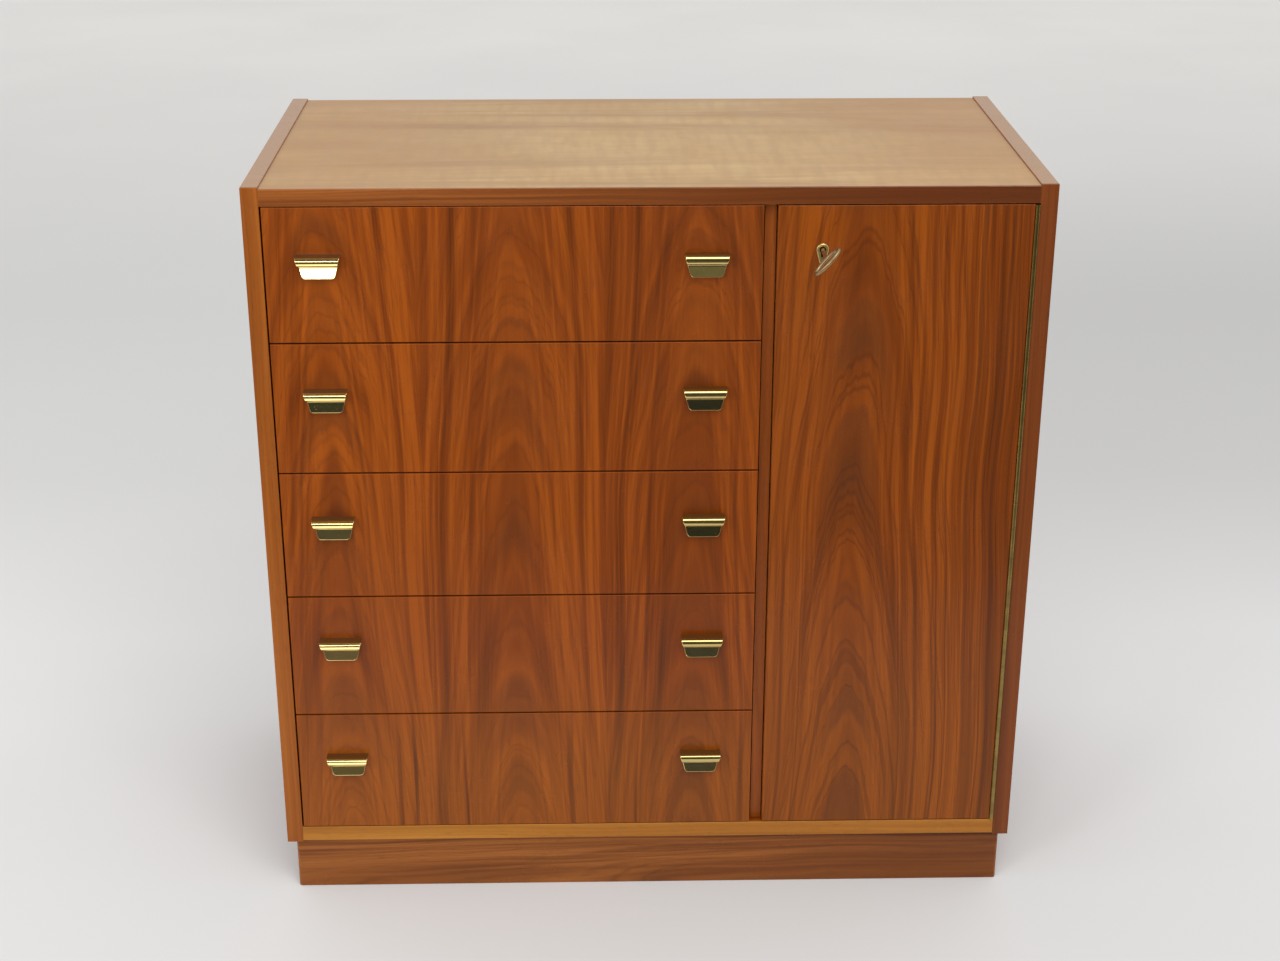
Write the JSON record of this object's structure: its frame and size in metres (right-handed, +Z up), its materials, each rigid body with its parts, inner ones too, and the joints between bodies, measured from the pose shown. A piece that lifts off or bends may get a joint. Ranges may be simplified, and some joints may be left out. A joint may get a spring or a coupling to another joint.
{
  "type": "chest of drawers",
  "caption": "Low wooden chest: a stack of inset drawers with brass lip pulls beside a tall lockable cupboard door on a strip hinge, on a set-back plinth.",
  "frame": {"origin": "on the floor, under the middle of the outline, pulls and key included", "axes": "+Z up, +X to the right seen from the front, the front faces -Y"},
  "size_m": [0.914, 0.519, 0.916],
  "materials": {
    "walnut_veneer": "satin lacquered walnut veneer",
    "walnut_lipping": "satin lacquered solid walnut",
    "drawer_beech": "plain planed beech",
    "thin_board": "plain thin plywood",
    "brass": "polished brass",
    "lock_steel": "plated steel",
    "key_nickel": "worn nickel plate"
  },
  "bodies": {
    "case": {"left_side_panel": "walnut_veneer", "right_side_panel": "walnut_veneer", "left_side_lipping": "walnut_lipping", "right_side_lipping": "walnut_lipping", "top_panel": "walnut_veneer", "bottom_panel": "walnut_veneer", "top_lipping": "walnut_lipping", "bottom_lipping": "walnut_lipping", "centre_divider": "walnut_veneer", "back_panel": "thin_board", "plinth_front": "walnut_veneer", "plinth_back": "walnut_veneer", "plinth_left": "walnut_veneer", "plinth_right": "walnut_veneer", "plinth_corner_blocks": "drawer_beech", "lower_shelf": "walnut_veneer", "upper_shelf": "walnut_veneer", "shelf_pegs": "brass", "left_drawer_runners": "drawer_beech", "right_drawer_runners": "drawer_beech", "hinge_case_leaf": "brass", "hinge_pin": "brass", "lock_strike": "brass"},
    "drawer_1": {"drawer_1_front": "walnut_veneer", "drawer_1_left_side": "drawer_beech", "drawer_1_right_side": "drawer_beech", "drawer_1_back": "drawer_beech", "drawer_1_bottom": "thin_board", "drawer_1_pulls": "brass"},
    "drawer_2": {"drawer_2_front": "walnut_veneer", "drawer_2_left_side": "drawer_beech", "drawer_2_right_side": "drawer_beech", "drawer_2_back": "drawer_beech", "drawer_2_bottom": "thin_board", "drawer_2_pulls": "brass"},
    "drawer_3": {"drawer_3_front": "walnut_veneer", "drawer_3_left_side": "drawer_beech", "drawer_3_right_side": "drawer_beech", "drawer_3_back": "drawer_beech", "drawer_3_bottom": "thin_board", "drawer_3_pulls": "brass"},
    "drawer_4": {"drawer_4_front": "walnut_veneer", "drawer_4_left_side": "drawer_beech", "drawer_4_right_side": "drawer_beech", "drawer_4_back": "drawer_beech", "drawer_4_bottom": "thin_board", "drawer_4_pulls": "brass"},
    "drawer_5": {"drawer_5_front": "walnut_veneer", "drawer_5_left_side": "drawer_beech", "drawer_5_right_side": "drawer_beech", "drawer_5_back": "drawer_beech", "drawer_5_bottom": "thin_board", "drawer_5_pulls": "brass"},
    "door": {"door_panel": "walnut_veneer", "hinge_door_leaf": "brass", "lock_case": "lock_steel", "keyhole_escutcheon": "brass"},
    "key": {"key": "key_nickel"},
    "bolt": {"lock_bolt": "lock_steel"}
  },
  "joints": [
    {"name": "drawer_1_slide", "type": "slide", "parent": "case", "child": "drawer_1", "axis": [0, -1, 0], "range_m": [0, 0.32]},
    {"name": "drawer_2_slide", "type": "slide", "parent": "case", "child": "drawer_2", "axis": [0, -1, 0], "range_m": [0, 0.32]},
    {"name": "drawer_3_slide", "type": "slide", "parent": "case", "child": "drawer_3", "axis": [0, -1, 0], "range_m": [0, 0.32]},
    {"name": "drawer_4_slide", "type": "slide", "parent": "case", "child": "drawer_4", "axis": [0, -1, 0], "range_m": [0, 0.32]},
    {"name": "drawer_5_slide", "type": "slide", "parent": "case", "child": "drawer_5", "axis": [0, -1, 0], "range_m": [0, 0.32]},
    {"name": "door_swing", "type": "hinge", "parent": "case", "child": "door", "pos_m": [0.4345, -0.1981, 0.4925], "axis": [0, 0, 1], "range_deg": [0, 175]},
    {"name": "key_turn", "type": "hinge", "parent": "door", "child": "key", "pos_m": [0.1938, -0.1975, 0.842], "axis": [0, -1, 0], "range_deg": [0, 90]},
    {"name": "bolt_throw", "type": "slide", "parent": "door", "child": "bolt", "axis": [-1, 0, 0], "range_m": [0, 0.007]}
  ],
  "couplings": [
    {"joint": "key_turn", "follows": "bolt_throw", "rad_per_m": 224.39}
  ]
}
